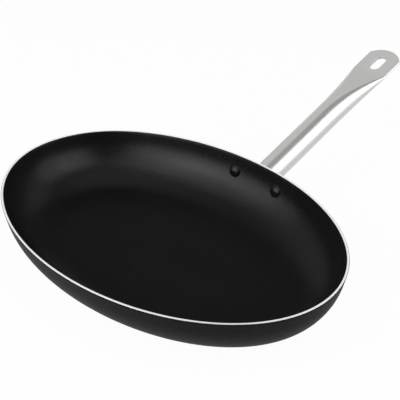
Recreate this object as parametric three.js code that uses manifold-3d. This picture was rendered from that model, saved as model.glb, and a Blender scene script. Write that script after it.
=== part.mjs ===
// Oval fish pan: a pressed aluminium pan with a black non-stick lining, a black outer lacquer and a
// bare rim, and a stainless tube handle welded to a drawn bracket that two rivets hold to the wall.
// Millimetres. +Z is up, +X runs along the pan, +Y points to the handle.
// The origin is the middle of the base, on the surface that the pan stands on.
import * as THREE from "three";
import { mergeVertices } from "three/addons/utils/BufferGeometryUtils.js";
import Module from "manifold-3d";

const wasm = await Module();
wasm.setup();

// Driving dimensions of the pan, over its lacquer and carried up to the plane of the rim.
const RIM_LENGTH = 360;
const RIM_WIDTH = 246;
const PAN_HEIGHT = 48;
const WALL_LEAN = THREE.MathUtils.degToRad(11);
const BASE_RADIUS = 48;
const SHEET = 1.8;
const RIM_ROUND = 0.3;
const FILM = 0.25;
const FILM_GAP = 0.05;
const FILM_BELOW_RIM = 0.3;
const OVAL_SEGMENTS = 64;
const ARC_STEPS = 7;
const LACQUER_FIRST_STEP = 1;

// Driving dimensions of the handle. Its own frame has +Y along the tube and +Z up, square to it.
const ROOT_Y = 130.8;
const ROOT_Z = 31.3;
const HANDLE_RISE = THREE.MathUtils.degToRad(21.45);
const TUBE_DIAMETER = 25.4;
const TUBE_WALL = 1.5;
const FLATTEN_START = 91;
const FLATTEN_END = 166;
const FLATTEN_POWER = 2.05;
const CAVITY_FLAT = 0.94;
const END_LIFT = 2;
const HANDLE_LENGTH = 204;
const END_RADIUS = 23.4;
const SLOT_LENGTH = 21;
const SLOT_WIDTH = 11.5;
const SLOT_MIDDLE = 182.7;
const HALF_TURN_POINTS = 14;
const FLATTEN_STEPS = 12;

// Driving dimensions of the bracket, its weld and the rivets.
const BRACKET_SHEET = 2.2;
const WING_RADIUS = 11.5;
const BOSS_RADIUS = 16.2;
const BOSS_Z = 29;
const CUP_FRONT_RADIUS = 15.6;
const CUP_BACK_Y = 104;
const CUP_BACK_Z = 29.5;
const CUP_BACK_HALF_WIDTH = 16.5;
const CUP_BACK_HALF_HEIGHT = 12.5;
const CUP_POINTS = 36;
const WELD_LEG = 1.6;
const WELD_HOLLOW = 0.12;
const RIVET_SPACING = 54;
const RIVET_Z = 31.2;
const SHANK_RADIUS = 2.9;
const HOLE_RADIUS = 3.2;
const INNER_HEAD_RADIUS = 6.9;
const INNER_HEAD_HEIGHT = 3;
const OUTER_HEAD_RADIUS = 4.9;
const OUTER_HEAD_HEIGHT = 2.4;
const RIVET_POINTS = 18;
const DOME_STEPS = 5;
const TOUCH_GAP = 0.3;
const BEDDING_GAP = 0.1;

// How far a cutting shape passes what it cuts, and how round shapes are divided.
const OVERSHOOT = 1;
const CUT_REACH = 30;
const CURVE_SEGMENTS = 10;
const WELD_STEPS = 4;

// Sizes worked out from the driving dimensions. A face of the wall is named by its offset, which is its
// distance from the metal's outer face, square to the wall and positive outwards.
const FILM_OUTER = FILM_GAP + FILM;
const LINING_FACE = -SHEET - FILM_GAP - FILM;
const BRACKET_BACK = FILM_OUTER + TOUCH_GAP;
const BRACKET_FRONT = BRACKET_BACK + BRACKET_SHEET;
const METAL_HALF_LENGTH = RIM_LENGTH / 2 - FILM_OUTER;
const OVAL_DIFFERENCE = (RIM_LENGTH - RIM_WIDTH) / 2;
const ARC_TURN = Math.PI / 2 - WALL_LEAN;
const STRAIGHT_HEIGHT = PAN_HEIGHT - BASE_RADIUS * (1 - Math.cos(ARC_TURN));
const FLAT_HALF_LENGTH =
  METAL_HALF_LENGTH - STRAIGHT_HEIGHT * Math.tan(WALL_LEAN) - BASE_RADIUS * Math.sin(ARC_TURN);
const TUBE_RADIUS = TUBE_DIAMETER / 2;
const END_HALF_THICKNESS = TUBE_WALL;
const END_HALF_WIDTH = (Math.PI * (TUBE_RADIUS - TUBE_WALL / 2) + TUBE_WALL) / 2;

// Solids from three.js geometry, and geometry back from a solid.

function solid(geometry) {
  const bare = geometry.clone();
  bare.deleteAttribute("normal");
  bare.deleteAttribute("uv");
  const merged = mergeVertices(bare, 1e-4);
  const corners = [];
  for (let i = 0; i < merged.index.count; i += 3) {
    const [a, b, c] = [0, 1, 2].map((k) => merged.index.getX(i + k));
    if (a !== b && b !== c && c !== a) corners.push(a, b, c);
  }
  const vertProperties = merged.getAttribute("position").array;
  const triVerts = new Uint32Array(corners);
  return new wasm.Manifold(new wasm.Mesh({ numProp: 3, vertProperties, triVerts }));
}

function geometryOf(made) {
  const mesh = made.getMesh();
  const geometry = new THREE.BufferGeometry();
  geometry.setAttribute("position", new THREE.BufferAttribute(mesh.vertProperties, 3));
  geometry.setIndex(new THREE.BufferAttribute(mesh.triVerts, 1));
  geometry.computeVertexNormals();
  return geometry;
}

// A closed solid through rings of points, each ring in the same order, with a flat cap at each end.
function loft(rings) {
  const count = rings[0].length;
  const positions = rings.flat().flatMap((p) => [p.x, p.y, p.z]);
  const corners = [];
  for (let r = 0; r + 1 < rings.length; r++) {
    for (let i = 0; i < count; i++) {
      const j = (i + 1) % count;
      const [a, b] = [r * count + i, r * count + j];
      corners.push(a, b, a + count, b, b + count, a + count);
    }
  }
  const last = (rings.length - 1) * count;
  for (let i = 1; i + 1 < count; i++) {
    corners.push(0, i + 1, i, last, last + i, last + i + 1);
  }
  const geometry = new THREE.BufferGeometry();
  geometry.setAttribute("position", new THREE.Float32BufferAttribute(positions, 3));
  geometry.setIndex(corners);
  return solid(geometry);
}

// A prism on a shape, reaching as far on either side of the shape's plane.
function prism(shape) {
  const extruded = new THREE.ExtrudeGeometry(shape, {
    depth: 2 * CUT_REACH,
    bevelEnabled: false,
    curveSegments: CURVE_SEGMENTS,
  });
  return extruded.translate(0, 0, -CUT_REACH);
}

// The oval pan. A lathe profile holds half lengths along X; the half width along Y follows from each.

function halfWidth(halfLength) {
  const flatHalfWidth = FLAT_HALF_LENGTH - OVAL_DIFFERENCE;
  if (halfLength < FLAT_HALF_LENGTH) return (halfLength * flatHalfWidth) / FLAT_HALF_LENGTH;
  return halfLength - OVAL_DIFFERENCE;
}

function ovalLathe(profile) {
  const points = profile.map(([halfLength, z]) => new THREE.Vector2(halfLength, z));
  const lathe = new THREE.LatheGeometry(points, OVAL_SEGMENTS);
  lathe.rotateX(Math.PI / 2);
  const place = lathe.getAttribute("position");
  for (let i = 0; i < place.count; i++) {
    const halfLength = Math.hypot(place.getX(i), place.getY(i));
    if (halfLength > 0) place.setY(i, (place.getY(i) * halfWidth(halfLength)) / halfLength);
  }
  return solid(lathe);
}

// Where a face of the wall stands at a turn of the base arc, and at a height on the straight wall.
function onArc(offset, turn) {
  const radius = BASE_RADIUS + offset;
  return [FLAT_HALF_LENGTH + radius * Math.sin(turn), BASE_RADIUS - radius * Math.cos(turn)];
}

function onStraight(offset, z) {
  const atRim = METAL_HALF_LENGTH + offset / Math.cos(WALL_LEAN);
  return [atRim - (PAN_HEIGHT - z) * Math.tan(WALL_LEAN), z];
}

// A face of the wall from a step of the base arc up to a height near the rim.
function wallFace(offset, firstStep, topZ) {
  const face = [];
  for (let step = firstStep; step <= ARC_STEPS; step++) {
    face.push(onArc(offset, (ARC_TURN * step) / ARC_STEPS));
  }
  face.push(onStraight(offset, topZ));
  return face;
}

// Everything inside a face of the wall, carried on above the rim.
function filledPan(offset) {
  const topZ = PAN_HEIGHT + CUT_REACH;
  const face = wallFace(offset, 0, topZ);
  return ovalLathe([[0, -offset], ...face, [0, topZ]]);
}

function panBody() {
  const outer = wallFace(0, 0, PAN_HEIGHT - RIM_ROUND);
  const inner = wallFace(-SHEET, 0, PAN_HEIGHT - RIM_ROUND);
  const rim = [onStraight(-RIM_ROUND, PAN_HEIGHT), onStraight(-SHEET + RIM_ROUND, PAN_HEIGHT)];
  const shoulder = (1 - Math.SQRT1_2) * RIM_ROUND;
  const outerShoulder = onStraight(-shoulder, PAN_HEIGHT - shoulder);
  const innerShoulder = onStraight(-SHEET + shoulder, PAN_HEIGHT - shoulder);
  const edge = [outerShoulder, ...rim, innerShoulder];
  return ovalLathe([[0, 0], ...outer, ...edge, ...inner.reverse(), [0, SHEET]]);
}

function nonstickLining() {
  const topZ = PAN_HEIGHT - FILM_BELOW_RIM;
  const outer = wallFace(LINING_FACE + FILM, 0, topZ);
  const inner = wallFace(LINING_FACE, 0, topZ).reverse();
  return ovalLathe([[0, -LINING_FACE - FILM], ...outer, ...inner, [0, -LINING_FACE]]);
}

function outerLacquer() {
  const topZ = PAN_HEIGHT - FILM_BELOW_RIM;
  const outer = wallFace(FILM_OUTER, LACQUER_FIRST_STEP, topZ);
  const inner = wallFace(FILM_GAP, LACQUER_FIRST_STEP, topZ).reverse();
  return ovalLathe([...outer, ...inner, outer[0]]);
}

// Rivets stand square to the wall, through a point of the metal's outer face.

function rivetFrame(side) {
  const turn = Math.acos((BASE_RADIUS - RIVET_Z) / BASE_RADIUS);
  const [halfLength] = onArc(0, turn);
  const x = (side * RIVET_SPACING) / 2;
  const y = halfWidth(halfLength) * Math.sqrt(1 - (x / halfLength) ** 2);
  const outward = new THREE.Vector3(x / halfLength ** 2, y / halfWidth(halfLength) ** 2, 0).normalize();
  outward.multiplyScalar(Math.sin(turn)).setZ(-Math.cos(turn));
  const turned = new THREE.Quaternion().setFromUnitVectors(new THREE.Vector3(0, 1, 0), outward);
  return new THREE.Matrix4().compose(new THREE.Vector3(x, y, RIVET_Z), turned, new THREE.Vector3(1, 1, 1));
}

function pin(radius, from, to, frame) {
  const cylinder = new THREE.CylinderGeometry(radius, radius, to - from, RIVET_POINTS);
  cylinder.translate(0, (from + to) / 2, 0);
  return solid(cylinder.applyMatrix4(frame));
}

// A domed rivet head: a cap of a sphere on a short skirt that the wall's face then trims.
function rivetHead(radius, height, base, way, frame) {
  const sphere = (radius ** 2 + height ** 2) / (2 * height);
  const reach = Math.asin(radius / sphere);
  const skirt = base - way * OVERSHOOT;
  const profile = [new THREE.Vector2(0, skirt), new THREE.Vector2(radius, skirt)];
  for (let step = DOME_STEPS; step >= 0; step--) {
    const turn = (reach * step) / DOME_STEPS;
    const y = base + way * (height - sphere * (1 - Math.cos(turn)));
    profile.push(new THREE.Vector2(sphere * Math.sin(turn), y));
  }
  profile[profile.length - 1].x = 0;
  if (way < 0) profile.reverse();
  return solid(new THREE.LatheGeometry(profile, RIVET_POINTS).applyMatrix4(frame));
}

function rivet(side) {
  const frame = rivetFrame(side);
  const shank = pin(SHANK_RADIUS, LINING_FACE - OVERSHOOT, BRACKET_FRONT + OVERSHOOT, frame);
  const inner = rivetHead(INNER_HEAD_RADIUS, INNER_HEAD_HEIGHT, LINING_FACE, -1, frame);
  const outer = rivetHead(OUTER_HEAD_RADIUS, OUTER_HEAD_HEIGHT, BRACKET_FRONT, 1, frame);
  const bedded = inner.intersect(filledPan(LINING_FACE - BEDDING_GAP));
  const clinched = outer.subtract(filledPan(BRACKET_FRONT + BEDDING_GAP));
  return shank.add(bedded).add(clinched);
}

function drilled(made) {
  const drill = (side) => pin(HOLE_RADIUS, -CUT_REACH, CUT_REACH, rivetFrame(side));
  return made.subtract(drill(-1)).subtract(drill(1));
}

// The handle's frame, from the middle of the bracket's front face along the tube.

const handleFrame = new THREE.Matrix4().compose(
  new THREE.Vector3(0, ROOT_Y, ROOT_Z),
  new THREE.Quaternion().setFromAxisAngle(new THREE.Vector3(1, 0, 0), HANDLE_RISE),
  new THREE.Vector3(1, 1, 1),
);

// The bracket is one drawn sheet: a flange that follows the wall, and a hollow cup that carries the tube.

function flangeOutline() {
  const [wingX, wingZ] = [RIVET_SPACING / 2, RIVET_Z];
  const apart = Math.hypot(wingX, wingZ - BOSS_Z);
  const climb = Math.atan2(wingZ - BOSS_Z, wingX);
  const tangent = Math.acos((BOSS_RADIUS - WING_RADIUS) / apart);
  const shape = new THREE.Shape();
  shape.absarc(0, BOSS_Z, BOSS_RADIUS, Math.PI - climb + tangent, 2 * Math.PI + climb - tangent, false);
  shape.absarc(wingX, wingZ, WING_RADIUS, climb - tangent, climb + tangent, false);
  shape.absarc(0, BOSS_Z, BOSS_RADIUS, climb + tangent, Math.PI - climb - tangent, false);
  shape.absarc(-wingX, wingZ, WING_RADIUS, Math.PI - climb - tangent, Math.PI - climb + tangent, false);
  return shape;
}

function flange() {
  const blank = prism(flangeOutline()).rotateX(Math.PI / 2).translate(0, ROOT_Y, 0);
  return filledPan(BRACKET_FRONT).subtract(filledPan(BRACKET_BACK)).intersect(solid(blank));
}

function cup(inset) {
  const front = [];
  const back = [];
  for (let i = 0; i < CUP_POINTS; i++) {
    const turn = (2 * Math.PI * i) / CUP_POINTS;
    const [across, up] = [Math.sin(turn), Math.cos(turn)];
    const radius = CUP_FRONT_RADIUS - inset;
    front.push(new THREE.Vector3(radius * across, -inset, radius * up).applyMatrix4(handleFrame));
    const x = (CUP_BACK_HALF_WIDTH - inset) * across;
    back.push(new THREE.Vector3(x, CUP_BACK_Y - inset, CUP_BACK_Z + (CUP_BACK_HALF_HEIGHT - inset) * up));
  }
  return loft([back, front]);
}

function handleBracket() {
  const outside = flange().add(cup(0).subtract(filledPan(BRACKET_BACK)));
  return drilled(outside.subtract(cup(BRACKET_SHEET)));
}

// The tube, in the handle's frame. Its section is a stadium: a circle at the root, flat at the end.

function flattened(y) {
  const share = THREE.MathUtils.clamp((y - FLATTEN_START) / (FLATTEN_END - FLATTEN_START), 0, 1);
  return share ** FLATTEN_POWER;
}

function tubeSection(y, inset) {
  const flat = flattened(y);
  const round = THREE.MathUtils.lerp(TUBE_RADIUS, END_HALF_THICKNESS, flat) - inset;
  const reach = (END_HALF_WIDTH - END_HALF_THICKNESS) * flat;
  const ring = [];
  for (let i = 0; i < 2 * HALF_TURN_POINTS; i++) {
    const turn = (Math.PI * (i + 0.5)) / HALF_TURN_POINTS - Math.PI / 2;
    const shift = i < HALF_TURN_POINTS ? reach : -reach;
    const z = round * Math.sin(turn) + END_LIFT * flat;
    ring.push(new THREE.Vector3(shift + round * Math.cos(turn), y, z));
  }
  return ring;
}

function tubeSolid(stations, inset) {
  return loft(stations.map((y) => tubeSection(y, inset)).reverse());
}

function endOutline() {
  const side = END_HALF_WIDTH + OVERSHOOT;
  const centre = HANDLE_LENGTH - END_RADIUS;
  const corner = Math.acos(side / END_RADIUS);
  const shape = new THREE.Shape();
  shape.moveTo(-side, 0);
  shape.lineTo(side, 0);
  shape.absarc(0, centre, END_RADIUS, corner, Math.PI - corner, false);
  return shape;
}

function slotOutline() {
  const round = SLOT_WIDTH / 2;
  const reach = SLOT_LENGTH / 2 - round;
  const shape = new THREE.Shape();
  shape.absarc(0, SLOT_MIDDLE + reach, round, 0, Math.PI, false);
  shape.absarc(0, SLOT_MIDDLE - reach, round, Math.PI, 2 * Math.PI, false);
  return shape;
}

function handleTube() {
  const cavityShare = CAVITY_FLAT ** (1 / FLATTEN_POWER);
  const cavityEnd = THREE.MathUtils.lerp(FLATTEN_START, FLATTEN_END, cavityShare);
  const stations = [TOUCH_GAP];
  const cavity = [0];
  for (let i = 0; i <= FLATTEN_STEPS; i++) {
    stations.push(THREE.MathUtils.lerp(FLATTEN_START, FLATTEN_END, i / FLATTEN_STEPS));
    cavity.push(THREE.MathUtils.lerp(FLATTEN_START, cavityEnd, i / FLATTEN_STEPS));
  }
  stations.push(HANDLE_LENGTH + OVERSHOOT);
  const bored = tubeSolid(stations, 0).subtract(tubeSolid(cavity, TUBE_WALL));
  return bored.intersect(solid(prism(endOutline()))).subtract(solid(prism(slotOutline())));
}

// The fillet weld between the bracket's front face and the tube, as a ring round the tube.
function handleWeld() {
  const inner = TUBE_RADIUS + TOUCH_GAP;
  const start = TOUCH_GAP;
  const profile = [new THREE.Vector2(inner, start), new THREE.Vector2(inner + WELD_LEG, start)];
  for (let step = 1; step <= WELD_STEPS; step++) {
    const turn = ((Math.PI / 2) * step) / WELD_STEPS;
    const crown = WELD_LEG * (1 - WELD_HOLLOW * Math.sin(2 * turn));
    profile.push(new THREE.Vector2(inner + crown * Math.cos(turn), start + crown * Math.sin(turn)));
  }
  profile[profile.length - 1].x = inner;
  profile.push(profile[0].clone());
  return solid(new THREE.LatheGeometry(profile, CUP_POINTS));
}

// Materials and the finished group.

function material(color, roughness, metalness) {
  return new THREE.MeshStandardMaterial({ color, roughness, metalness });
}

const aluminium = material(0xd9dadb, 0.35, 1);
const nonstick = material(0x1a1a1b, 0.45, 0);
const lacquer = material(0x262626, 0.5, 0);
const stainless = material(0xc9c9c8, 0.28, 1);
const weldMetal = material(0xb4b2ae, 0.45, 1);

function piece(name, made, finish) {
  const mesh = new THREE.Mesh(geometryOf(made), finish);
  mesh.name = name;
  return mesh;
}

const handle = new THREE.Group();
handle.position.set(0, ROOT_Y, ROOT_Z);
handle.rotation.x = HANDLE_RISE;
handle.add(piece("handle_tube", handleTube(), stainless));
handle.add(piece("handle_weld", handleWeld(), weldMetal));

const pan = new THREE.Group();
pan.add(piece("pan_body", drilled(panBody()), aluminium));
pan.add(piece("nonstick_lining", drilled(nonstickLining()), nonstick));
pan.add(piece("outer_lacquer", drilled(outerLacquer()), lacquer));
pan.add(piece("handle_bracket", handleBracket(), stainless));
pan.add(piece("rivet_left", rivet(-1), nonstick));
pan.add(piece("rivet_right", rivet(1), nonstick));
pan.add(handle);

export default pan;
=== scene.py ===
# Looks of the oval fish pan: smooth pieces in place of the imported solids, their finishes, a pale studio
# and the photograph's camera. Shapes are written in millimetres. +Z is up and +Y points to the handle.
import math

import bmesh
import bpy
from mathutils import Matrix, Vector


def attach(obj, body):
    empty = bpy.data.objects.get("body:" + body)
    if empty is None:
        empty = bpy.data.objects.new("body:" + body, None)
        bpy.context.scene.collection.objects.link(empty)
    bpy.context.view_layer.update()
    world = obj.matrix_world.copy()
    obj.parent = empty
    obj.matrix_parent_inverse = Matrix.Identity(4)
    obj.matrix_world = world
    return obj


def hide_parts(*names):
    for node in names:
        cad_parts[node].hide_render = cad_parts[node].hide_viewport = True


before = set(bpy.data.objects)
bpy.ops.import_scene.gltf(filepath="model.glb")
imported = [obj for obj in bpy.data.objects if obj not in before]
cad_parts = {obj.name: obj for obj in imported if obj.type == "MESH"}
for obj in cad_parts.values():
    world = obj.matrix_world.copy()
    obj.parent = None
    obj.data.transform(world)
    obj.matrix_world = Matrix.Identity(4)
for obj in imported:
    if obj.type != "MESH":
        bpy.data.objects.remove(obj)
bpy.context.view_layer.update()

MM = 0.001

# The pan, over its lacquer and carried up to the plane of the rim. The lacquer starts at a share of the
# base's arc, and the floor and the base are divided by rings at half lengths.
RIM_LENGTH = 360
RIM_WIDTH = 246
PAN_HEIGHT = 48
WALL_LEAN = math.radians(11)
BASE_RADIUS = 48
SHEET = 1.8
RIM_ROUND = 0.3
FILM = 0.25
FILM_GAP = 0.05
FILM_BELOW_RIM = 0.3
LACQUER_START = 1 / 7
FLOOR_RINGS = (0, 12, 30, 55, 85, 110)
BASE_MIDDLE = 14
BASE_GROOVES = (36, 56, 76, 96, 116)
GROOVE_HALF_WIDTH = 2.6
GROOVE_DEPTH = 0.45

# The handle. Its own frame has +Y along the tube and +Z up, square to it. The tube is made a little too
# long and its end is cut by shapes that stand over it.
ROOT_Y = 130.8
ROOT_Z = 31.3
HANDLE_RISE = math.radians(21.45)
TUBE_DIAMETER = 25.4
TUBE_WALL = 1.5
FLATTEN_START = 91
FLATTEN_END = 166
FLATTEN_POWER = 2.05
CAVITY_FLAT = 0.94
END_LIFT = 2
HANDLE_LENGTH = 204
END_RADIUS = 23.4
END_CORNER = 3.2
SLOT_LENGTH = 21
SLOT_WIDTH = 11.5
SLOT_MIDDLE = 182.7
CUT_EDGE_ROUND = 0.4
SEAM_DEPTH = 1
SEAM_HALF_HEIGHT = 0.28
UNCUT_END = 1
CUTTER_OVER = 6
CUTTER_SIDE = 0.05

# The bracket, its weld and the rivets.
BRACKET_SHEET = 2.2
WING_RADIUS = 11.5
BOSS_RADIUS = 16.2
BOSS_Z = 29
CUP_FRONT_RADIUS = 15.6
CUP_EDGE_ROUND = 2.4
CUP_BACK_Y = 104
CUP_BACK_Z = 29.5
CUP_BACK_HALF_WIDTH = 16.5
CUP_BACK_HALF_HEIGHT = 12.5
CUP_FILLET = 3.5
CUP_FILLET_SHARE = 0.45
CUP_FACE_RINGS = (0.3, 0.6)
FLANGE_LEAST_REACH = 0.2
FLANGE_EDGE_ROUND = 0.5
FLANGE_EDGE_SHARE = 0.25
WELD_LEG = 1.6
WELD_HOLLOW = 0.04
WELD_RIPPLES = 46
RIPPLE_DEPTH = 0.1
RIPPLE_BOW = 0.35
RIVET_SPACING = 54
RIVET_Z = 31.2
SHANK_RADIUS = 2.9
HOLE_RADIUS = 3.2
INNER_HEAD_RADIUS = 6.9
INNER_HEAD_HEIGHT = 3
OUTER_HEAD_RADIUS = 4.9
OUTER_HEAD_HEIGHT = 2.4
HEAD_BEDDING = 0.3
TOUCH_GAP = 0.3

# How finely the shapes are divided, and how often a search for a point halves its stretch.
OVAL_POINTS = 192
ARC_STEPS = 22
STRAIGHT_STEPS = 3
GROOVE_STEPS = 8
EDGE_STEPS = 5
FILM_EDGE_STEPS = 4
TUBE_POINTS = 128
TUBE_STEPS = (14, 46, 10)
CAVITY_STEPS = (6, 24)
SLOT_STEPS = 16
END_STEPS = 48
END_CORNER_STEPS = 8
BRACKET_POINTS = 192
BEND_STEPS = 6
FLANGE_STEPS = 6
FLANGE_EDGE_STEPS = 3
WELD_POINTS = 276
WELD_STEPS = 9
RIVET_POINTS = 40
DOME_STEPS = 10
HALVINGS = 40
SMOOTH_ANGLE = math.radians(32)
MERGE_DISTANCE = 1e-7

# Sizes worked out from these. A face of the wall is named by its offset, which is its distance from the
# metal's outer face, square to the wall and positive outwards.
FILM_OUTER = FILM_GAP + FILM
LINING_FACE = -SHEET - FILM_GAP - FILM
BRACKET_BACK = FILM_OUTER + TOUCH_GAP
BRACKET_FRONT = BRACKET_BACK + BRACKET_SHEET
METAL_HALF_LENGTH = RIM_LENGTH / 2 - FILM_OUTER
OVAL_DIFFERENCE = (RIM_LENGTH - RIM_WIDTH) / 2
ARC_TURN = math.pi / 2 - WALL_LEAN
LACQUER_FIRST_TURN = ARC_TURN * LACQUER_START
STRAIGHT_HEIGHT = PAN_HEIGHT - BASE_RADIUS * (1 - math.cos(ARC_TURN))
FLAT_HALF_LENGTH = (
    METAL_HALF_LENGTH
    - STRAIGHT_HEIGHT * math.tan(WALL_LEAN)
    - BASE_RADIUS * math.sin(ARC_TURN)
)
TUBE_RADIUS = TUBE_DIAMETER / 2
END_HALF_THICKNESS = TUBE_WALL
END_HALF_WIDTH = (math.pi * (TUBE_RADIUS - TUBE_WALL / 2) + TUBE_WALL) / 2


def lerp(a, b, share):
    return a + (b - a) * share


def steps(first, last, count):
    return [lerp(first, last, i / count) for i in range(count + 1)]


# Meshes.


def build(name, points, faces):
    """A mesh from points in millimetres, with its faces turned outwards."""
    mesh = bpy.data.meshes.new(name)
    mesh.from_pydata([Vector(p) * MM for p in points], [], faces)
    work = bmesh.new()
    work.from_mesh(mesh)
    bmesh.ops.remove_doubles(work, verts=work.verts, dist=MERGE_DISTANCE)
    bmesh.ops.recalc_face_normals(work, faces=work.faces)
    work.to_mesh(mesh)
    work.free()
    obj = bpy.data.objects.new(name, mesh)
    bpy.context.scene.collection.objects.link(obj)
    return obj


def skin(name, rings, capped=False):
    """A mesh through rings of points. A ring of one point closes an end, and so does a cap."""
    points = []
    faces = []
    starts = []
    for ring in rings:
        starts.append(len(points))
        points.extend(ring)
    for near, far, a, b in zip(rings, rings[1:], starts, starts[1:]):
        count = max(len(near), len(far))
        for i in range(count):
            j = (i + 1) % count
            if len(near) == 1:
                faces.append((a, b + j, b + i))
            elif len(far) == 1:
                faces.append((a + i, a + j, b))
            else:
                faces.append((a + i, a + j, b + j, b + i))
    if capped:
        faces.append(range(starts[0], starts[0] + len(rings[0])))
        faces.append(range(starts[-1], starts[-1] + len(rings[-1])))
    return build(name, points, faces)


def cut(obj, cutter):
    """Takes the cutter's shape out of the object, and removes the cutter."""
    boolean = obj.modifiers.new("cut", "BOOLEAN")
    boolean.operation = "DIFFERENCE"
    boolean.solver = "EXACT"
    boolean.object = cutter
    depsgraph = bpy.context.evaluated_depsgraph_get()
    made = bpy.data.meshes.new_from_object(obj.evaluated_get(depsgraph))
    obj.modifiers.clear()
    obj.data = made
    bpy.data.objects.remove(cutter)


def finish_piece(obj, material, node):
    """Smooth faces with crisp edges, the finish, and the piece's place in the frame."""
    obj.data.polygons.foreach_set("use_smooth", [True] * len(obj.data.polygons))
    obj.data.set_sharp_from_angle(angle=SMOOTH_ANGLE)
    obj.data.materials.clear()
    obj.data.materials.append(material)
    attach(obj, "root")
    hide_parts(node)


# The oval pan. A profile holds half lengths along X; the half width along Y follows from each.


def half_width(half_length):
    if half_length < FLAT_HALF_LENGTH:
        return half_length * (FLAT_HALF_LENGTH - OVAL_DIFFERENCE) / FLAT_HALF_LENGTH
    return half_length - OVAL_DIFFERENCE


def oval_ring(half_length, z):
    if half_length == 0:
        return [(0, 0, z)]
    ring = []
    for i in range(OVAL_POINTS):
        turn = 2 * math.pi * i / OVAL_POINTS
        ring.append((half_length * math.cos(turn), half_width(half_length) * math.sin(turn), z))
    return ring


def oval(name, profile):
    return skin(name, [oval_ring(half_length, z) for half_length, z in profile])


def on_arc(offset, turn):
    radius = BASE_RADIUS + offset
    return FLAT_HALF_LENGTH + radius * math.sin(turn), BASE_RADIUS - radius * math.cos(turn)


def on_straight(offset, z):
    at_rim = METAL_HALF_LENGTH + offset / math.cos(WALL_LEAN)
    return at_rim - (PAN_HEIGHT - z) * math.tan(WALL_LEAN), z


def wall_face(offset, first_turn, top_z):
    """A face of the wall from a turn of the base arc up to a height near the rim."""
    face = [on_arc(offset, turn) for turn in steps(first_turn, ARC_TURN, ARC_STEPS)]
    join = face[-1][1]
    return face + [on_straight(offset, z) for z in steps(join, top_z, STRAIGHT_STEPS)[1:]]


def wall_point(offset, x, z):
    """The point of a face of the wall beside the handle, at a place across and a height."""
    radius = BASE_RADIUS + offset
    if z > BASE_RADIUS - radius * math.cos(ARC_TURN):
        half_length = on_straight(offset, z)[0]
    else:
        half_length = FLAT_HALF_LENGTH + math.sqrt(radius**2 - (BASE_RADIUS - z) ** 2)
    return Vector((x, half_width(half_length) * math.sqrt(1 - (x / half_length) ** 2), z))


def floor_rings(z):
    return [(half_length, z) for half_length in FLOOR_RINGS]


def grooved_base():
    """The bare base, with shallow pressed grooves that follow the oval."""
    profile = [(0, 0), (BASE_MIDDLE, 0)]
    for middle in BASE_GROOVES:
        for share in steps(-1, 1, GROOVE_STEPS):
            depth = GROOVE_DEPTH * (1 + math.cos(math.pi * share)) / 2
            profile.append((middle + share * GROOVE_HALF_WIDTH, depth))
    return profile


def pan_shell():
    side_top = PAN_HEIGHT - RIM_ROUND
    outer = wall_face(0, 0, side_top)
    inner = wall_face(-SHEET, 0, side_top)[::-1]
    round_over = []
    for turn in steps(0, math.pi / 2, EDGE_STEPS)[1:]:
        inset = RIM_ROUND * (1 - math.cos(turn))
        round_over.append((inset, side_top + RIM_ROUND * math.sin(turn)))
    rim = [on_straight(-inset, z) for inset, z in round_over]
    rim += [on_straight(-SHEET + inset, z) for inset, z in reversed(round_over)]
    return oval("pan_shell", grooved_base() + outer + rim + inner + floor_rings(SHEET)[::-1])


def film_top(offset_outer, offset_inner, top_z):
    """The rounded upper edge of a film, from its outer to its inner face."""
    middle = (offset_outer + offset_inner) / 2
    half = abs(offset_outer - offset_inner) / 2
    way = 1 if offset_outer > offset_inner else -1
    edge = []
    for turn in steps(0, math.pi, FILM_EDGE_STEPS)[1:-1]:
        offset = middle + way * half * math.cos(turn)
        edge.append(on_straight(offset, top_z - half + half * math.sin(turn)))
    return edge


def lining_film():
    top_z = PAN_HEIGHT - FILM_BELOW_RIM
    outer = wall_face(LINING_FACE + FILM, 0, top_z - FILM / 2)
    inner = wall_face(LINING_FACE, 0, top_z - FILM / 2)[::-1]
    edge = film_top(LINING_FACE + FILM, LINING_FACE, top_z)
    under = floor_rings(-LINING_FACE - FILM)
    over = floor_rings(-LINING_FACE)[::-1]
    return oval("lining_film", under + outer + edge + inner + over)


def lacquer_film():
    top_z = PAN_HEIGHT - FILM_BELOW_RIM
    outer = wall_face(FILM_OUTER, LACQUER_FIRST_TURN, top_z - FILM / 2)
    inner = wall_face(FILM_GAP, LACQUER_FIRST_TURN, top_z - FILM / 2)[::-1]
    edge = film_top(FILM_OUTER, FILM_GAP, top_z)
    return oval("lacquer_film", outer + edge + inner + outer[:1])


# Rivets stand square to the wall, through a point of the metal's outer face.


def rivet_axis(side):
    """The rivet's place on the metal's outer face, its outward axis and two directions across it."""
    turn = math.acos((BASE_RADIUS - RIVET_Z) / BASE_RADIUS)
    half_length = on_arc(0, turn)[0]
    place = wall_point(0, side * RIVET_SPACING / 2, RIVET_Z)
    outward = Vector((place.x / half_length**2, place.y / half_width(half_length) ** 2, 0))
    outward = outward.normalized() * math.sin(turn)
    outward.z = -math.cos(turn)
    across = outward.cross(Vector((0, 0, 1))).normalized()
    return place, outward, across, outward.cross(across)


def turned(name, side, profile):
    """A shape turned about a rivet's axis, from pairs of a radius and a place along the axis."""
    place, outward, across, upward = rivet_axis(side)
    rings = []
    for radius, along in profile:
        middle = place + outward * along
        if radius == 0:
            rings.append([middle])
            continue
        ring = []
        for i in range(RIVET_POINTS):
            turn = 2 * math.pi * i / RIVET_POINTS
            ring.append(middle + (across * math.cos(turn) + upward * math.sin(turn)) * radius)
        rings.append(ring)
    return skin(name, rings)


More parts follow.
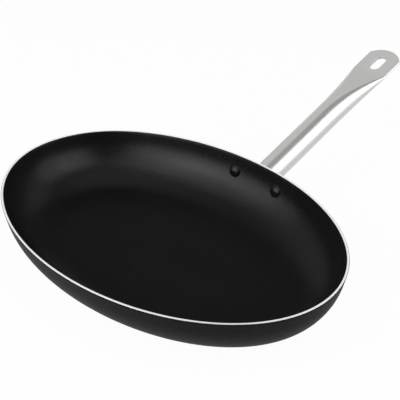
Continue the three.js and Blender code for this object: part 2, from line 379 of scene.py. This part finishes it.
def dome(radius, height, base, way):
    """A rivet head's profile, from its foot to its top."""
    sphere = (radius**2 + height**2) / (2 * height)
    reach = math.asin(radius / sphere)
    profile = [(radius, base - way * HEAD_BEDDING)]
    for turn in steps(reach, 0, DOME_STEPS)[:-1]:
        rise = height - sphere * (1 - math.cos(turn))
        profile.append((sphere * math.sin(turn), base + way * rise))
    return profile + [(0, base + way * height)]


def rivet(name, side):
    inner = dome(INNER_HEAD_RADIUS, INNER_HEAD_HEIGHT, LINING_FACE, -1)
    outer = dome(OUTER_HEAD_RADIUS, OUTER_HEAD_HEIGHT, BRACKET_FRONT, 1)
    shank = [(SHANK_RADIUS, inner[0][1]), (SHANK_RADIUS, outer[0][1])]
    return turned(name, side, inner[::-1] + shank + outer)


def drill(obj):
    """The two rivet holes through a piece."""
    for side in (-1, 1):
        reach = BASE_RADIUS / 2
        profile = [(0, -reach), (HOLE_RADIUS, -reach), (HOLE_RADIUS, reach), (0, reach)]
        cut(obj, turned("drill", side, profile))


# The handle, in its own frame.


def handle_point(x, y, z):
    rise, run = math.sin(HANDLE_RISE), math.cos(HANDLE_RISE)
    return Vector((x, ROOT_Y + y * run - z * rise, ROOT_Z + y * rise + z * run))


def flattened(y):
    share = (y - FLATTEN_START) / (FLATTEN_END - FLATTEN_START)
    return min(max(share, 0), 1) ** FLATTEN_POWER


def tube_ring(y, inset):
    """A section of the tube: a circle at the root that turns into a flat band with round sides."""
    flat = flattened(y)
    radius = lerp(TUBE_RADIUS, END_HALF_THICKNESS, flat) - inset
    reach = (END_HALF_WIDTH - END_HALF_THICKNESS) * flat
    quarter = math.pi / 2
    stretches = [
        (reach, 0, quarter),
        (0, quarter, 0),
        (-reach, quarter, 2 * quarter),
        (0, 3 * quarter, 0),
        (reach, 3 * quarter, quarter),
    ]
    perimeter = 2 * math.pi * radius + 4 * reach
    ring = []
    passed = 0
    place = 0.5
    for middle, start, turn in stretches:
        length = radius * turn if turn else 2 * reach
        share = (length / perimeter + turn / (2 * math.pi)) / 2 * TUBE_POINTS
        while place < passed + share and len(ring) < TUBE_POINTS:
            along = (place - passed) / share
            angle = start + turn * along
            x = middle + radius * math.cos(angle)
            if not turn:
                x = reach * math.sin(start) * (1 - 2 * along)
            ring.append(handle_point(x, y, radius * math.sin(angle) + END_LIFT * flat))
            place += 1
        passed += share
    return ring


def edge_levels():
    """Levels through the flat end with how far a cut stands back: round edges and a fine seam between."""
    low, high = END_LIFT - END_HALF_THICKNESS, END_LIFT + END_HALF_THICKNESS
    lower = [(low - CUTTER_OVER, CUT_EDGE_ROUND)]
    for turn in steps(0, math.pi / 2, EDGE_STEPS):
        back = CUT_EDGE_ROUND * (1 - math.sin(turn))
        lower.append((low + CUT_EDGE_ROUND * (1 - math.cos(turn)), back))
    lower.append((END_LIFT - SEAM_HALF_HEIGHT, 0))
    upper = [(low + high - z, back) for z, back in reversed(lower)]
    return lower + [(END_LIFT, SEAM_DEPTH)] + upper


def slot_cutter():
    rings = []
    reach = (SLOT_LENGTH - SLOT_WIDTH) / 2
    for z, back in edge_levels():
        radius = SLOT_WIDTH / 2 + back
        ring = []
        for end in (1, -1):
            for turn in steps(0, math.pi, SLOT_STEPS):
                x, y = end * radius * math.cos(turn), end * (reach + radius * math.sin(turn))
                ring.append(handle_point(x, SLOT_MIDDLE + y, z))
        rings.append(ring)
    return skin("slot_cutter", rings, capped=True)


def end_cutter():
    """All that lies beyond the round end of the handle, with its two corners rounded."""
    side = END_HALF_WIDTH + CUTTER_SIDE
    middle = HANDLE_LENGTH - END_RADIUS
    corner_x = side - END_CORNER
    corner_y = math.sqrt((END_RADIUS - END_CORNER) ** 2 - corner_x**2)
    lean = math.atan2(corner_y, corner_x)
    far = 3 * END_RADIUS
    rings = []
    for z, back in edge_levels():
        small, large = END_CORNER - back, END_RADIUS - back
        outline = []
        for turn in steps(0, lean, END_CORNER_STEPS)[:-1]:
            outline.append((corner_x + small * math.cos(turn), corner_y + small * math.sin(turn)))
        for turn in steps(lean, math.pi - lean, END_STEPS):
            outline.append((large * math.cos(turn), large * math.sin(turn)))
        for turn in steps(math.pi - lean, math.pi, END_CORNER_STEPS)[1:]:
            outline.append((-corner_x + small * math.cos(turn), corner_y + small * math.sin(turn)))
        outline += [(-far, corner_y), (-far, far), (far, far), (far, corner_y)]
        rings.append([handle_point(x, middle + y, z) for x, y in outline])
    return skin("end_cutter", rings, capped=True)


def tube_formed():
    cavity_end = lerp(FLATTEN_START, FLATTEN_END, CAVITY_FLAT ** (1 / FLATTEN_POWER))
    outer = steps(TOUCH_GAP, FLATTEN_START, TUBE_STEPS[0])
    outer += steps(FLATTEN_START, FLATTEN_END, TUBE_STEPS[1])[1:]
    outer += steps(FLATTEN_END, HANDLE_LENGTH + UNCUT_END, TUBE_STEPS[2])[1:]
    cavity = steps(TOUCH_GAP, FLATTEN_START, CAVITY_STEPS[0])
    cavity += steps(FLATTEN_START, cavity_end, CAVITY_STEPS[1])[1:]
    rings = [[handle_point(0, cavity_end, END_LIFT * CAVITY_FLAT)]]
    rings += [tube_ring(y, TUBE_WALL) for y in reversed(cavity)]
    rings += [tube_ring(y, 0) for y in outer]
    rings += [[handle_point(0, outer[-1], END_LIFT)]]
    tube = skin("tube_formed", rings)
    cut(tube, slot_cutter())
    cut(tube, end_cutter())
    return tube


def weld_bead():
    """A rippled fillet weld round the tube, on the bracket's front face."""
    inner = TUBE_RADIUS + TOUCH_GAP
    rings = []
    for turn in steps(0, math.pi / 2, WELD_STEPS):
        ring = []
        swell = math.sin(2 * turn)
        for i in range(WELD_POINTS):
            around = 2 * math.pi * i / WELD_POINTS
            lap = (WELD_RIPPLES * around / (2 * math.pi) + RIPPLE_BOW * swell) % 1
            ripple = RIPPLE_DEPTH * (1 - math.sin(math.pi * lap)) * swell
            crown = WELD_LEG * (1 - WELD_HOLLOW * swell - ripple)
            radius = inner + crown * math.cos(turn)
            y = TOUCH_GAP + crown * math.sin(turn)
            ring.append(handle_point(radius * math.sin(around), y, radius * math.cos(around)))
        rings.append(ring)
    foot = []
    for i in range(WELD_POINTS):
        around = 2 * math.pi * i / WELD_POINTS
        foot.append(handle_point(inner * math.sin(around), TOUCH_GAP, inner * math.cos(around)))
    return skin("weld_bead", [foot] + rings + [foot])


# The bracket is one drawn sheet: a flange that follows the wall, and a hollow cup that carries the tube.


def outline_reach(direction, start):
    """How far the flange's outline lies from a start, along a direction in the X-Z plane."""

    def outside(point):
        least = 1e9
        for side in (-1, 1):
            axis = Vector((side * RIVET_SPACING / 2, RIVET_Z - BOSS_Z))
            length = axis.length
            axis.normalize()
            along = point.dot(axis)
            apart = abs(point.cross(axis))
            taper = (BOSS_RADIUS - WING_RADIUS) / length
            slope = math.sqrt(1 - taper**2)
            key = -taper * apart + slope * along
            if key < 0:
                gap = point.length - BOSS_RADIUS
            elif key > slope * length:
                gap = math.hypot(apart, along - length) - WING_RADIUS
            else:
                gap = apart * slope + along * taper - BOSS_RADIUS
            least = min(least, gap)
        return least

    near, far = 0, 3 * BOSS_RADIUS
    for _ in range(HALVINGS):
        reach = (near + far) / 2
        if outside(start + direction * reach) > 0:
            far = reach
        else:
            near = reach
    return near


def cup_line(turn, inset):
    """The cup's side at a turn round its axis: its front end and its back end."""
    across, up = math.sin(turn), math.cos(turn)
    radius = CUP_FRONT_RADIUS - inset
    front = handle_point(radius * across, -inset, radius * up)
    back_z = CUP_BACK_Z + (CUP_BACK_HALF_HEIGHT - inset) * up
    back = Vector(((CUP_BACK_HALF_WIDTH - inset) * across, CUP_BACK_Y - inset, back_z))
    return front, back


def meets_wall(front, back, offset):
    """Where a line of the cup's side meets a face of the wall."""
    near, far = 0, 1
    for _ in range(HALVINGS):
        share = (near + far) / 2
        point = front.lerp(back, share)
        if point.y > wall_point(offset, point.x, point.z).y:
            near = share
        else:
            far = share
    return front.lerp(back, near)


def bent(start, corner, end):
    """Points of a round bend from start to end about a corner."""
    return [start.lerp(corner, s).lerp(corner.lerp(end, s), s) for s in steps(0, 1, BEND_STEPS)]


def bracket_line(turn):
    """A section of the drawn sheet at a turn round the cup: front face, side, flange, edge and back."""
    front, back = cup_line(turn, 0)
    hit = meets_wall(front, back, BRACKET_FRONT)
    centre = Vector((0, BOSS_Z))
    start = Vector((hit.x, hit.z)) - centre
    direction = start.normalized()
    reach = max(outline_reach(direction, start), FLANGE_LEAST_REACH)

    def flange(distance, offset):
        at = centre + start + direction * distance
        return wall_point(offset, at.x, at.y)

    face = [handle_point(0, 0, 0).lerp(front, share) for share in CUP_FACE_RINGS]
    inward = (handle_point(0, 0, 0) - front).normalized()
    along = (hit - front).normalized()
    edge = bent(front + inward * CUP_EDGE_ROUND, front, front + along * CUP_EDGE_ROUND)
    fillet = min(CUP_FILLET, CUP_FILLET_SHARE * reach)
    foot = bent(hit - along * fillet, hit, flange(fillet, BRACKET_FRONT))
    small = min(FLANGE_EDGE_ROUND, FLANGE_EDGE_SHARE * reach)
    plate = [flange(d, BRACKET_FRONT) for d in steps(fillet, reach - small, FLANGE_STEPS)[1:]]
    for angle in steps(0, math.pi / 2, FLANGE_EDGE_STEPS)[1:]:
        out, down = small * math.sin(angle), small * (1 - math.cos(angle))
        plate.append(flange(reach - small + out, BRACKET_FRONT - down))
    plate.append(flange(reach, BRACKET_BACK))
    inner_front, inner_back = cup_line(turn, BRACKET_SHEET)
    inner_hit = meets_wall(inner_front, inner_back, BRACKET_BACK)
    inside = [inner_hit, inner_front, handle_point(0, -BRACKET_SHEET, 0).lerp(inner_front, 0.5)]
    return face + edge + foot + plate + inside


def bracket_drawn():
    lines = [bracket_line(2 * math.pi * i / BRACKET_POINTS) for i in range(BRACKET_POINTS)]
    rings = [[line[k] for line in lines] for k in range(len(lines[0]))]
    front = [handle_point(0, 0, 0)]
    back = [handle_point(0, -BRACKET_SHEET, 0)]
    return skin("bracket_drawn", [front] + rings + [back])


# Finishes.


class Finish:
    """A material of one Principled shader, with helpers for the nodes that feed it."""

    def __init__(self, name, **uniform):
        self.material = bpy.data.materials.new(name)
        self.material.use_nodes = True
        self.nodes = self.material.node_tree.nodes
        self.links = self.material.node_tree.links
        self.shader = self.nodes["Principled BSDF"]
        for socket, value in uniform.items():
            self.shader.inputs[socket.replace("_", " ")].default_value = value

    def coordinates(self, scale, rotation=(0, 0, 0)):
        """The piece's own coordinates in metres, turned and then stretched."""
        place = self.nodes.new("ShaderNodeTexCoord").outputs["Object"]
        for key, value in (("Rotation", rotation), ("Scale", scale)):
            mapping = self.nodes.new("ShaderNodeMapping")
            mapping.inputs[key].default_value = value
            self.links.new(place, mapping.inputs["Vector"])
            place = mapping.outputs["Vector"]
        return place

    def noise(self, place, detail, roughness=0.55):
        node = self.nodes.new("ShaderNodeTexNoise")
        node.inputs["Scale"].default_value = 1
        node.inputs["Detail"].default_value = detail
        node.inputs["Roughness"].default_value = roughness
        self.links.new(place, node.inputs["Vector"])
        return node.outputs["Fac"]

    def spots(self, per_metre, detail):
        """Noise that is alike in all directions, with its spots counted per metre."""
        return self.noise(self.coordinates((per_metre,) * 3), detail=detail)

    def ramp(self, value, *stops):
        """A colour ramp. A stop is a place and a grey or a colour."""
        node = self.nodes.new("ShaderNodeValToRGB")
        ramp = node.color_ramp
        while len(ramp.elements) < len(stops):
            ramp.elements.new(1)
        for element, (at, colour) in zip(ramp.elements, stops):
            if not isinstance(colour, tuple):
                colour = (colour,) * 3
            element.position = at
            element.color = (*colour, 1)
        self.links.new(value, node.inputs["Fac"])
        return node.outputs["Color"]

    def mixed(self, share, first, second, blend="MIX"):
        node = self.nodes.new("ShaderNodeMix")
        node.data_type = "RGBA"
        node.blend_type = blend
        if isinstance(share, float):
            node.inputs[0].default_value = share
        else:
            self.links.new(share, node.inputs[0])
        self.links.new(first, node.inputs[6])
        self.links.new(second, node.inputs[7])
        return node.outputs[2]

    def bump(self, height, strength, distance, before=None):
        node = self.nodes.new("ShaderNodeBump")
        node.inputs["Strength"].default_value = strength
        node.inputs["Distance"].default_value = distance
        self.links.new(height, node.inputs["Height"])
        if before is not None:
            self.links.new(before, node.inputs["Normal"])
        return node.outputs["Normal"]

    def feed(self, **sockets):
        for socket, value in sockets.items():
            self.links.new(value, self.shader.inputs[socket.replace("_", " ")])
        return self.material


def nonstick():
    """Satin black coat with a fine sprayed grain and a few dull patches."""
    finish = Finish("nonstick", Metallic=0, Specular_IOR_Level=0.28)
    grain = finish.spots(800, detail=2)
    cloud = finish.spots(22, detail=3)
    colour = finish.ramp(cloud, (0.3, (0.0061, 0.0061, 0.0063)), (0.7, (0.0075, 0.0075, 0.0077)))
    shine = finish.mixed(0.35, finish.ramp(grain, (0.3, 0.2), (0.7, 0.3)),
                         finish.ramp(cloud, (0.3, 0.22), (0.7, 0.28)))
    relief = finish.bump(grain, 1, 0.00018)
    return finish.feed(Base_Color=colour, Roughness=shine, Normal=relief)


def black_lacquer():
    """Sprayed satin lacquer with a slight orange peel."""
    finish = Finish("black_lacquer", Metallic=0, Specular_IOR_Level=0.14)
    peel = finish.spots(420, detail=2)
    cloud = finish.spots(30, detail=3)
    colour = finish.ramp(cloud, (0.3, (0.0008, 0.0008, 0.0008)), (0.7, (0.0018, 0.0018, 0.0018)))
    shine = finish.ramp(peel, (0.3, 0.56), (0.7, 0.66))
    relief = finish.bump(peel, 0.12, 0.00008)
    return finish.feed(Base_Color=colour, Roughness=shine, Normal=relief)


def stainless(name, stretch, rotation=(0, 0, 0), scuffs=0.3):
    """Satin steel with fine lines along one direction."""
    finish = Finish(name, Metallic=1)
    lines = finish.noise(finish.coordinates(stretch, rotation), detail=4, roughness=0.6)
    cloud = finish.spots(35, detail=4)
    tone = finish.ramp(lines, (0.25, (0.545, 0.542, 0.535)), (0.75, (0.605, 0.602, 0.595)))
    dull = finish.ramp(cloud, (0.3, (0.93, 0.93, 0.93)), (0.7, (1, 1, 1)))
    colour = finish.mixed(scuffs, tone, dull, "MULTIPLY")
    shine = finish.ramp(lines, (0.2, 0.26), (0.8, 0.36))
    relief = finish.bump(lines, 0.06, 0.00002)
    return finish.feed(Base_Color=colour, Roughness=shine, Normal=relief)


def bare_aluminium():
    """Bright bare edge and a ground base, with straight fine lines along the pan."""
    finish = Finish("bare_aluminium", Metallic=1)
    lines = finish.noise(finish.coordinates((40, 2600, 900)), detail=4, roughness=0.6)
    cloud = finish.spots(60, detail=4)
    tone = finish.ramp(lines, (0.25, (0.8, 0.805, 0.81)), (0.75, (0.9, 0.902, 0.905)))
    dull = finish.ramp(cloud, (0.35, (0.9, 0.9, 0.9)), (0.7, (1, 1, 1)))
    colour = finish.mixed(0.4, tone, dull, "MULTIPLY")
    shine = finish.ramp(lines, (0.2, 0.26), (0.8, 0.4))
    relief = finish.bump(lines, 0.08, 0.00002)
    return finish.feed(Base_Color=colour, Roughness=shine, Normal=relief)


def weld_metal():
    """Dull weld metal with brown and blue heat colours."""
    finish = Finish("weld_metal", Metallic=1)
    grain = finish.spots(900, detail=3)
    heat = finish.spots(160, detail=2)
    colour = finish.ramp(
        heat,
        (0.3, (0.42, 0.4, 0.38)),
        (0.45, (0.46, 0.4, 0.31)),
        (0.58, (0.4, 0.37, 0.4)),
        (0.7, (0.5, 0.49, 0.47)),
    )
    shine = finish.ramp(grain, (0.3, 0.34), (0.7, 0.52))
    relief = finish.bump(grain, 0.2, 0.00008)
    return finish.feed(Base_Color=colour, Roughness=shine, Normal=relief)


def coated_rivet():
    """Rivet heads under the same black coat, a little rubbed."""
    finish = Finish("coated_rivet", Metallic=0, Specular_IOR_Level=0.3)
    grain = finish.spots(1800, detail=2)
    colour = finish.ramp(grain, (0.35, (0.003, 0.003, 0.0031)), (0.7, (0.005, 0.005, 0.0052)))
    shine = finish.ramp(grain, (0.3, 0.22), (0.7, 0.3))
    relief = finish.bump(grain, 0.12, 0.00005)
    return finish.feed(Base_Color=colour, Roughness=shine, Normal=relief)


# The pieces.

pan = pan_shell()
lining = lining_film()
lacquer = lacquer_film()
bracket = bracket_drawn()
for drilled in (pan, lining, lacquer, bracket):
    drill(drilled)
tube = tube_formed()
weld = weld_bead()
left_rivet = rivet("rivet_head_left", -1)
right_rivet = rivet("rivet_head_right", 1)

tube_steel = stainless("stainless", (2600, 26, 2600), (-HANDLE_RISE, 0, 0))
bracket_steel = stainless("drawn_stainless", (500, 500, 120))
rivet_coat = coated_rivet()
finish_piece(pan, bare_aluminium(), "pan_body")
finish_piece(lining, nonstick(), "nonstick_lining")
finish_piece(lacquer, black_lacquer(), "outer_lacquer")
finish_piece(bracket, bracket_steel, "handle_bracket")
finish_piece(tube, tube_steel, "handle_tube")
finish_piece(weld, weld_metal(), "handle_weld")
finish_piece(left_rivet, rivet_coat, "rivet_left")
finish_piece(right_rivet, rivet_coat, "rivet_right")

# The studio: a wide white floor, a grey sky and soft lamps, some of which light the bare metal only. A lamp
# has an azimuth from +X towards +Y and an elevation in degrees, a width, a height and a radiance.
FLOOR_HALF = 40
FLOOR_BELOW = 0.0002
FLOOR_GLOW = 0.96
FLOOR_PAINT = (0.96, 0.96, 0.96, 1)
AIM = Vector((0, 0.06, 0.05))
LAMP_DISTANCE = 1.6
SKY = ((0, 0.05), (0.5, 0.11), (0.75, 0.07), (1, 0.52))
LAMPS = {
    "front_left": (-124, 18, 1.05, 1.04, 1.85),
    "front_left_top": (-124, 48, 1.05, 0.68, 1),
    "front_right": (-87, 18, 1.17, 1.04, 1.95),
    "front_right_top": (-87, 48, 1.17, 0.68, 1.2),
    "front_core": (-104, 29, 0.8, 0.56, 1.05),
    "right_near": (0, 36, 1.17, 1.42, 1.55),
    "right_far": (40, 27, 1.17, 1.63, 1.15),
    "left_card": (-170, 24, 1.3, 1.36, 0.28),
    "back_card": (85, 25, 1.49, 1.49, 0.36),
    "corner_low": (130, 8, 1.2, 0.45, 0.4),
}
METAL_LAMPS = {
    "left_fill": (156, 38, 3.2, 2, 0.7),
    "stripe_fill": (24, 22, 1.6, 1.3, 1),
}
RIM_LAMP = (137, 32, 1.4, 1.4, 0.16)
CARD_PLACE = (0.85, 0.6, 0.004)
CARD_SIZE = (1.1, 1.6)
CARD_RADIANCE = 0.4


def studio_floor():
    half = FLOOR_HALF / MM
    below = -FLOOR_BELOW / MM
    corners = [(-half, -half, below), (half, -half, below), (half, half, below), (-half, half, below)]
    floor = build("studio_floor", corners, [(0, 1, 2, 3)])
    material = bpy.data.materials.new("studio_floor")
    material.use_nodes = True
    nodes, links = material.node_tree.nodes, material.node_tree.links
    nodes.clear()
    path = nodes.new("ShaderNodeLightPath")
    seen = path.outputs["Is Camera Ray"]
    for ray in ("Is Glossy Ray", "Is Transmission Ray"):
        either = nodes.new("ShaderNodeMath")
        either.operation = "MAXIMUM"
        links.new(seen, either.inputs[0])
        links.new(path.outputs[ray], either.inputs[1])
        seen = either.outputs[0]
    share = nodes.new("ShaderNodeMath")
    share.operation = "MULTIPLY"
    share.inputs[1].default_value = FLOOR_GLOW
    links.new(seen, share.inputs[0])
    paint = nodes.new("ShaderNodeBsdfDiffuse")
    paint.inputs["Color"].default_value = FLOOR_PAINT
    glow = nodes.new("ShaderNodeEmission")
    glow.inputs["Strength"].default_value = 1
    mix = nodes.new("ShaderNodeMixShader")
    links.new(share.outputs[0], mix.inputs["Fac"])
    links.new(paint.outputs[0], mix.inputs[1])
    links.new(glow.outputs[0], mix.inputs[2])
    output = nodes.new("ShaderNodeOutputMaterial")
    links.new(mix.outputs[0], output.inputs["Surface"])
    floor.data.materials.append(material)


def studio_sky():
    world = bpy.data.worlds.new("studio_sky")
    bpy.context.scene.world = world
    world.use_nodes = True
    nodes, links = world.node_tree.nodes, world.node_tree.links
    place = nodes.new("ShaderNodeTexCoord")
    parts = nodes.new("ShaderNodeSeparateXYZ")
    links.new(place.outputs["Generated"], parts.inputs[0])
    ramp = nodes.new("ShaderNodeValToRGB")
    while len(ramp.color_ramp.elements) < len(SKY):
        ramp.color_ramp.elements.new(1)
    for element, (at, grey) in zip(ramp.color_ramp.elements, SKY):
        element.position = at
        element.color = (grey, grey, grey, 1)
    links.new(parts.outputs["Z"], ramp.inputs["Fac"])
    links.new(ramp.outputs["Color"], nodes["Background"].inputs["Color"])


def area_lamp(name, width, height, radiance):
    light = bpy.data.lights.new(name, "AREA")
    light.shape = "RECTANGLE"
    light.size = width
    light.size_y = height
    light.energy = radiance * width * height * math.pi
    lamp = bpy.data.objects.new(name, light)
    bpy.context.scene.collection.objects.link(lamp)
    lamp.visible_camera = False
    return lamp


def softbox(name, azimuth, elevation, width, height, radiance):
    """A soft lamp that looks at the pan."""
    lamp = area_lamp(name, width, height, radiance)
    turn, rise = math.radians(azimuth), math.radians(elevation)
    way = Vector((math.cos(turn) * math.cos(rise), math.sin(turn) * math.cos(rise), math.sin(rise)))
    lamp.location = AIM + way * LAMP_DISTANCE
    lamp.rotation_euler = (-way).to_track_quat("-Z", "Y").to_euler()
    return lamp


def floor_card(name):
    """A bright card that lies on the floor beside the handle and faces up."""
    lamp = area_lamp(name, *CARD_SIZE, CARD_RADIANCE)
    lamp.location = CARD_PLACE
    lamp.rotation_euler = (math.pi, 0, 0)
    return lamp


def light_only(lamps, name, pieces):
    """Links lamps to the pieces that they light."""
    receivers = bpy.data.collections.new(name)
    for piece in pieces:
        receivers.objects.link(piece)
    for lamp in lamps:
        lamp.light_linking.receiver_collection = receivers


studio_floor()
studio_sky()
for lamp_name, lamp_setting in LAMPS.items():
    softbox(lamp_name, *lamp_setting)
metal_lamps = [softbox(lamp_name, *lamp_setting) for lamp_name, lamp_setting in METAL_LAMPS.items()]
light_only(metal_lamps + [floor_card("floor_card")], "metal_pieces", (pan, bracket, tube, weld))
light_only([softbox("rim_lamp", *RIM_LAMP)], "bare_rim", [pan])

# The camera, at the photograph's view.
CAMERA_PLACE = (0.4821, -0.4129, 0.4469)
CAMERA_FORWARD = Vector((-0.6199, 0.5855, -0.5225))
CAMERA_LENS = 76.77
SENSOR_WIDTH = 36

camera = bpy.data.objects.new("camera", bpy.data.cameras.new("camera"))
bpy.context.scene.collection.objects.link(camera)
camera.data.sensor_width = SENSOR_WIDTH
camera.data.lens = CAMERA_LENS
camera.location = CAMERA_PLACE
camera.rotation_euler = CAMERA_FORWARD.to_track_quat("-Z", "Y").to_euler()
bpy.context.scene.camera = camera
bpy.context.scene.view_settings.view_transform = "Standard"
